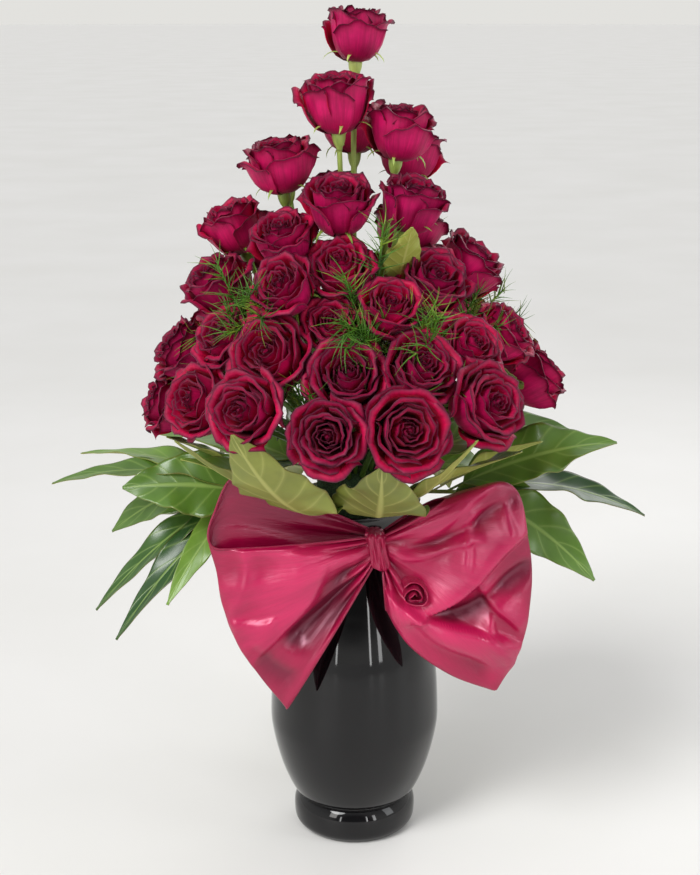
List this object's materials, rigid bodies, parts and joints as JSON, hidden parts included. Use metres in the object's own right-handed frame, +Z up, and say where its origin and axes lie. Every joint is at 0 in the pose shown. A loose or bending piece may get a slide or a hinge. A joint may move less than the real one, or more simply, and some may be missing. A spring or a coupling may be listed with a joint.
{
  "type": "vase of cut roses",
  "caption": "Cone of cut red roses with leaf and fern sprigs in floral foam, standing in a glossy black vase with a wide satin bow round its neck.",
  "frame": {"origin": "middle of the vase's flat foot, on the surface it stands on", "axes": "+Z up, the bow faces -Y, +X to the right of someone who faces the bow"},
  "size_m": [0.4705, 0.3784, 0.6514],
  "materials": {
    "black_glaze": "gloss",
    "wet_foam": "matte",
    "rose": "matte",
    "leaf": "satin",
    "fern": "matte",
    "satin": "satin"
  },
  "bodies": {
    "root": {"vase": "black_glaze", "floral_foam": "wet_foam", "rose_01": "rose", "rose_02": "rose", "rose_03": "rose", "rose_04": "rose", "rose_05": "rose", "rose_06": "rose", "rose_07": "rose", "rose_08": "rose", "rose_09": "rose", "rose_10": "rose", "rose_11": "rose", "rose_12": "rose", "rose_13": "rose", "rose_14": "rose", "rose_15": "rose", "rose_16": "rose", "rose_17": "rose", "rose_18": "rose", "rose_19": "rose", "rose_20": "rose", "rose_21": "rose", "rose_22": "rose", "rose_23": "rose", "rose_24": "rose", "rose_25": "rose", "rose_26": "rose", "rose_27": "rose", "rose_28": "rose", "rose_29": "rose", "rose_30": "rose", "rose_31": "rose", "rose_32": "rose", "rose_33": "rose", "rose_34": "rose", "rose_35": "rose", "rose_36": "rose", "rose_37": "rose", "rose_38": "rose", "rose_39": "rose", "rose_40": "rose", "rose_41": "rose", "rose_42": "rose", "rose_43": "rose", "rose_44": "rose", "rose_45": "rose", "leaf_sprig_front": "leaf", "leaf_sprig_front_right": "leaf", "leaf_sprig_right": "leaf", "leaf_sprig_left": "leaf", "leaf_sprig_left_low": "leaf", "leaf_sprig_back_left": "leaf", "leaf_sprig_back_right": "leaf", "fern_sprig_left": "fern", "fern_sprig_right": "fern", "bow_loop_left": "satin", "bow_loop_right": "satin", "bow_knot": "satin", "ribbon_band": "satin"}
  },
  "joints": []
}
